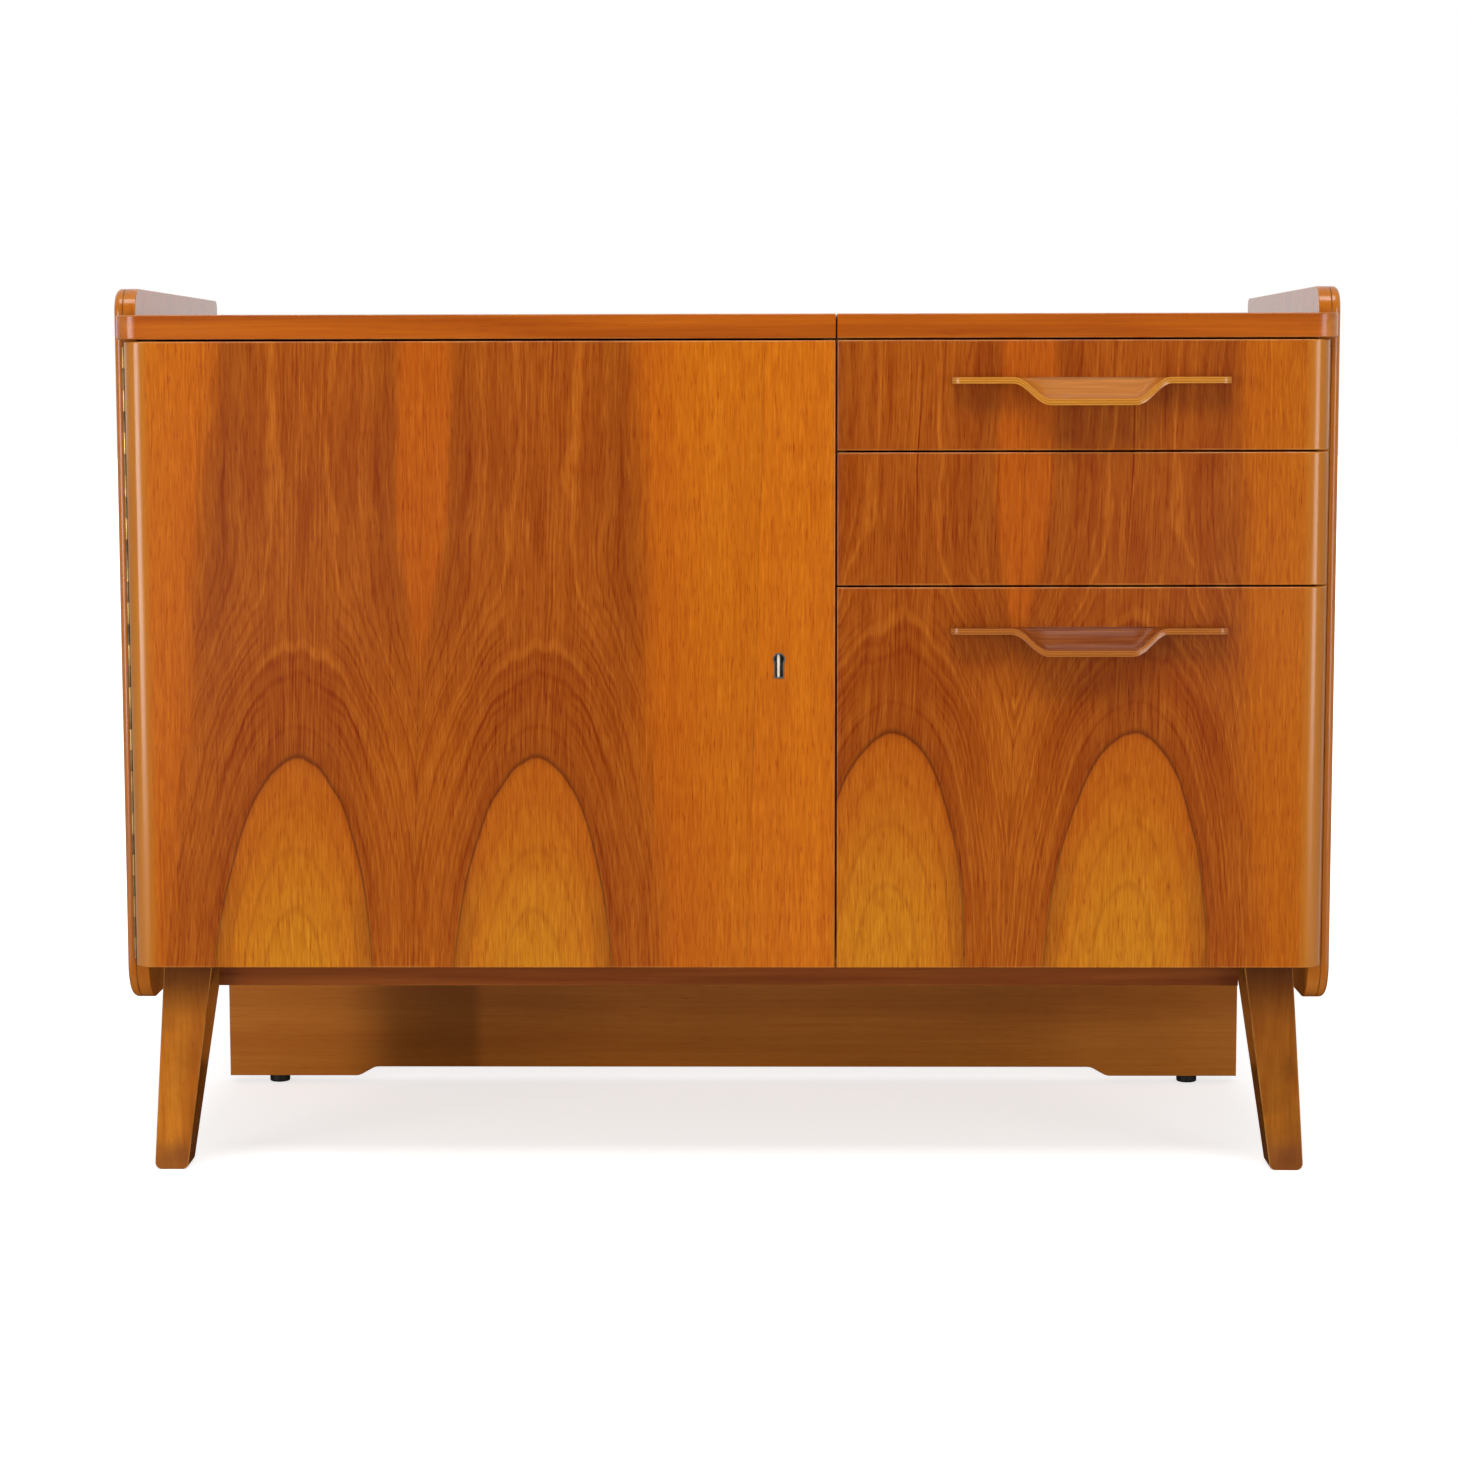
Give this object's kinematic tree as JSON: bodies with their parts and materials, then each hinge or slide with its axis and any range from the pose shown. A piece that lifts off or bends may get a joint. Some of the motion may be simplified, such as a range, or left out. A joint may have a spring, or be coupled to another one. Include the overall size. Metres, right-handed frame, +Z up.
{
  "type": "cellarette",
  "caption": "Low walnut drinks cabinet on splayed front legs and a rear plinth, with a hinged locking door, a lift-up lid over it, and a stack of drawers with scooped wooden handles.",
  "frame": {"origin": "on the floor, under the middle of the whole cabinet's box, handles included", "axes": "+Z up, +X to the right as seen from the front, which faces -Y"},
  "size_m": [1.054, 0.469, 0.7765],
  "materials": {
    "walnut_front": "book-matched walnut veneer under glossy amber lacquer",
    "walnut_top": "walnut veneer under glossy amber lacquer, grain along the length",
    "walnut_side": "walnut veneer under glossy amber lacquer, grain upright",
    "walnut_leg": "stained solid wood under lacquer, worn at the edges",
    "walnut_base": "dark stained veneer, grain along the length",
    "bent_ply": "bent plywood under lacquer, plies showing on the edge",
    "inner_board": "pale veneered board, satin",
    "drawer_wood": "plain pale hardwood and plywood, satin",
    "runner_wood": "plain waxed hardwood",
    "back_board": "brown hardboard, matt",
    "hinge_metal": "dull aged brass-plated steel",
    "lock_steel": "plain dull steel",
    "nickel": "polished nickel",
    "fastener_steel": "zinc-plated steel",
    "glide_black": "black plastic"
  },
  "bodies": {
    "carcass": {"back_panel": "back_board", "back_panel_screws": "fastener_steel", "base_rail": "walnut_base", "bottom_board": "inner_board", "door_hinge_frame_leaf": "hinge_metal", "door_hinge_pin": "hinge_metal", "fixed_top": "walnut_top", "frame_hinge_screws": "hinge_metal", "left_drawer_runners": "runner_wood", "left_leg": "walnut_leg", "left_side_inner_ply": "walnut_side", "left_side_outer_ply": "walnut_side", "leg_bolts": "fastener_steel", "lid_cleat": "inner_board", "lid_hinge_pin": "hinge_metal", "lid_hinge_rail_leaf": "hinge_metal", "partition": "inner_board", "plinth_blocks": "runner_wood", "plinth_glides": "glide_black", "rear_plinth": "walnut_base", "rear_top_rail": "walnut_top", "right_drawer_runners": "runner_wood", "right_leg": "walnut_leg", "right_side_inner_ply": "walnut_side", "right_side_outer_ply": "walnut_side", "shelf": "inner_board", "shelf_pins": "fastener_steel", "strike_plate": "lock_steel", "strike_screws": "lock_steel"},
    "door": {"door_panel": "walnut_front", "door_hinge_door_leaf": "hinge_metal", "door_hinge_door_screws": "hinge_metal", "lock_case": "lock_steel", "lock_screws": "lock_steel", "key_post": "lock_steel", "keyhole_bush": "nickel"},
    "bolt": {"lock_bolt": "lock_steel"},
    "lid": {"lid": "walnut_top", "lid_hinge_lid_leaf": "hinge_metal", "lid_hinge_lid_screws": "hinge_metal"},
    "top_drawer": {"top_drawer_back": "drawer_wood", "top_drawer_bottom": "drawer_wood", "top_drawer_front": "walnut_front", "top_drawer_handle": "bent_ply", "top_drawer_handle_screws": "fastener_steel", "top_drawer_left_side": "drawer_wood", "top_drawer_right_side": "drawer_wood"},
    "middle_drawer": {"middle_drawer_back": "drawer_wood", "middle_drawer_bottom": "drawer_wood", "middle_drawer_front": "walnut_front", "middle_drawer_left_side": "drawer_wood", "middle_drawer_right_side": "drawer_wood"},
    "deep_drawer": {"deep_drawer_back": "drawer_wood", "deep_drawer_bottom": "drawer_wood", "deep_drawer_front": "walnut_front", "deep_drawer_handle": "bent_ply", "deep_drawer_handle_screws": "fastener_steel", "deep_drawer_left_side": "drawer_wood", "deep_drawer_right_side": "drawer_wood"}
  },
  "joints": [
    {"name": "door_hinge", "type": "hinge", "parent": "carcass", "child": "door", "pos_m": [-0.5186, -0.1845, 0.46085], "axis": [0, 0, -1], "range_deg": [0, 115]},
    {"name": "lock_bolt_slide", "type": "slide", "parent": "door", "child": "bolt", "axis": [1, 0, 0], "range_m": [0, 0.007]},
    {"name": "lid_hinge", "type": "hinge", "parent": "carcass", "child": "lid", "pos_m": [-0.20675, 0.1975, 0.754], "axis": [-1, 0, 0], "range_deg": [0, 95]},
    {"name": "top_drawer_slide", "type": "slide", "parent": "carcass", "child": "top_drawer", "axis": [0, -1, 0], "range_m": [0, 0.3]},
    {"name": "middle_drawer_slide", "type": "slide", "parent": "carcass", "child": "middle_drawer", "axis": [0, -1, 0], "range_m": [0, 0.3]},
    {"name": "deep_drawer_slide", "type": "slide", "parent": "carcass", "child": "deep_drawer", "axis": [0, -1, 0], "range_m": [0, 0.3]}
  ]
}
